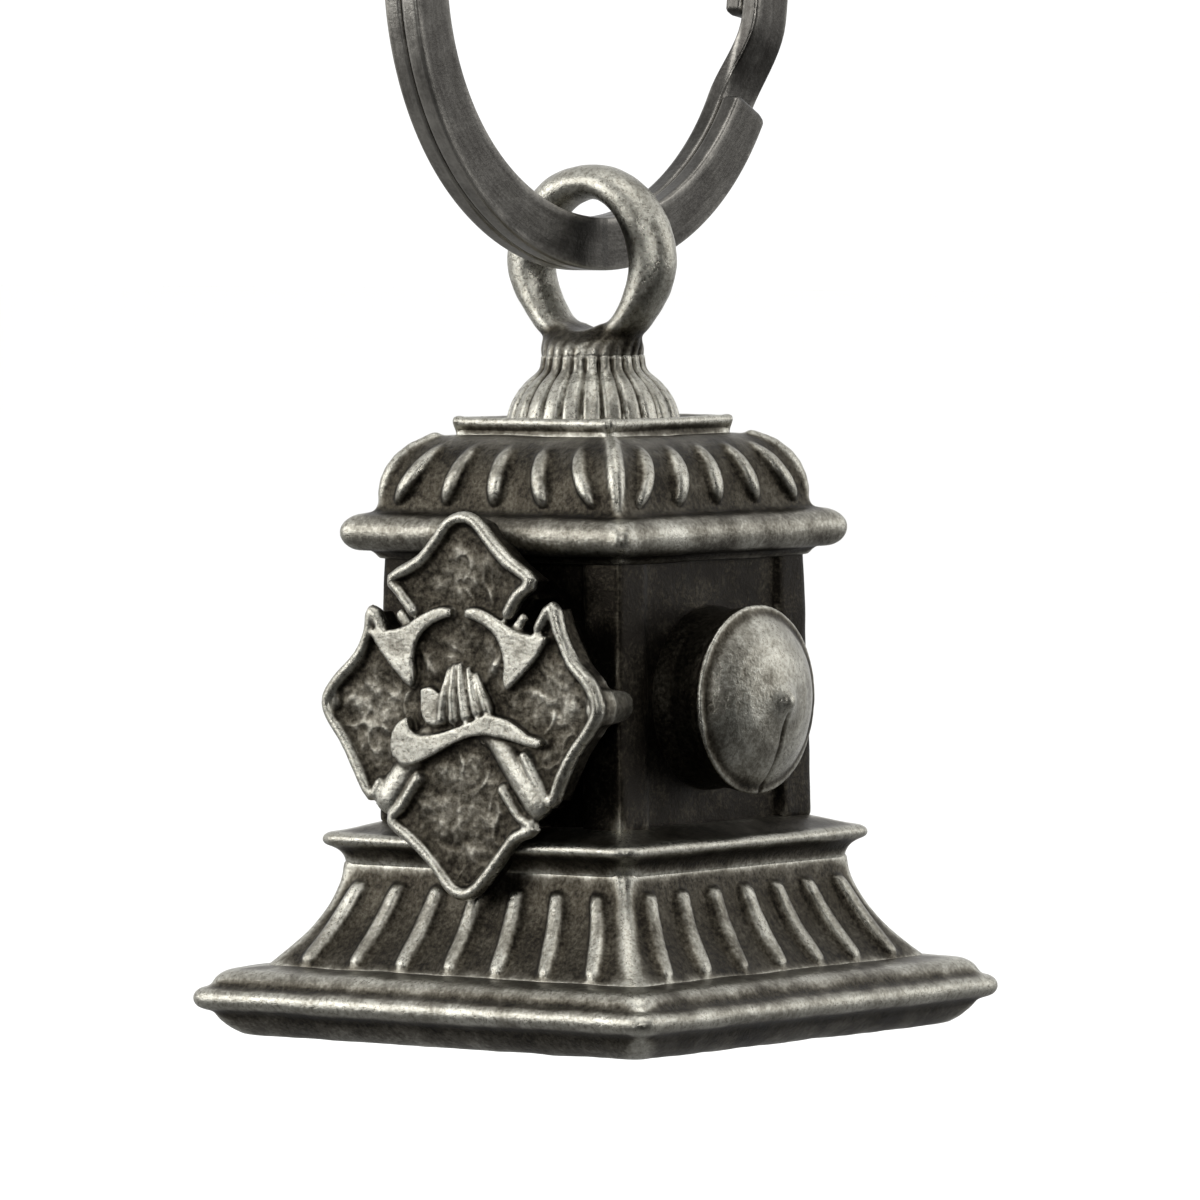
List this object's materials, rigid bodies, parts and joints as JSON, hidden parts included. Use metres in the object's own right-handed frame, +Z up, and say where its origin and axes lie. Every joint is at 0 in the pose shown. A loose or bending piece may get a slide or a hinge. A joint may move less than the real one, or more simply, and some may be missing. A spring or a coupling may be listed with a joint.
{
  "type": "hanging charm bell in the shape of a fire hydrant",
  "caption": "Small cast metal bell shaped like a square fire hydrant with hose outlets and a cross badge, hung by a cast eye from a split ring, with a swinging clapper.",
  "frame": {"origin": "hang point, the inside of the split ring at its top", "axes": "+Z up along the hanging bell's axis, badge face towards -Y, hose outlets towards -X and +X"},
  "size_m": [0.0254, 0.026, 0.059],
  "materials": {
    "antiqued_pewter": "cast, blackened and rubbed back on the high places",
    "dark_nickel_steel": "dark nickel plate over flat spring-steel wire",
    "link_wire": "nickel plate over round steel wire",
    "clapper_metal": "cast and tumbled"
  },
  "bodies": {
    "ring": {"split_ring": "dark_nickel_steel"},
    "bell": {"hanging_eye": "antiqued_pewter", "fluted_crown": "antiqued_pewter", "top_plate": "antiqued_pewter", "bonnet": "antiqued_pewter", "barrel": "antiqued_pewter", "collar": "antiqued_pewter", "skirt": "antiqued_pewter", "foot": "antiqued_pewter", "outlet_right": "antiqued_pewter", "outlet_left": "antiqued_pewter", "cross_badge": "antiqued_pewter", "clapper_lug": "antiqued_pewter"},
    "link": {"clapper_link": "link_wire"},
    "clapper": {"clapper": "clapper_metal"}
  },
  "joints": [
    {"name": "bell_swing", "type": "hinge", "parent": "ring", "child": "bell", "pos_m": [0, 0, -0.02255], "axis": [0, 1, 0], "range_deg": [-145, 145]},
    {"name": "link_swing", "type": "hinge", "parent": "bell", "child": "link", "pos_m": [0, 0, -0.03431], "axis": [0, 1, 0], "range_deg": [-14, 14]},
    {"name": "clapper_swing", "type": "hinge", "parent": "link", "child": "clapper", "pos_m": [0, 0, -0.03606], "axis": [1, 0, 0], "range_deg": [-15, 15]}
  ]
}
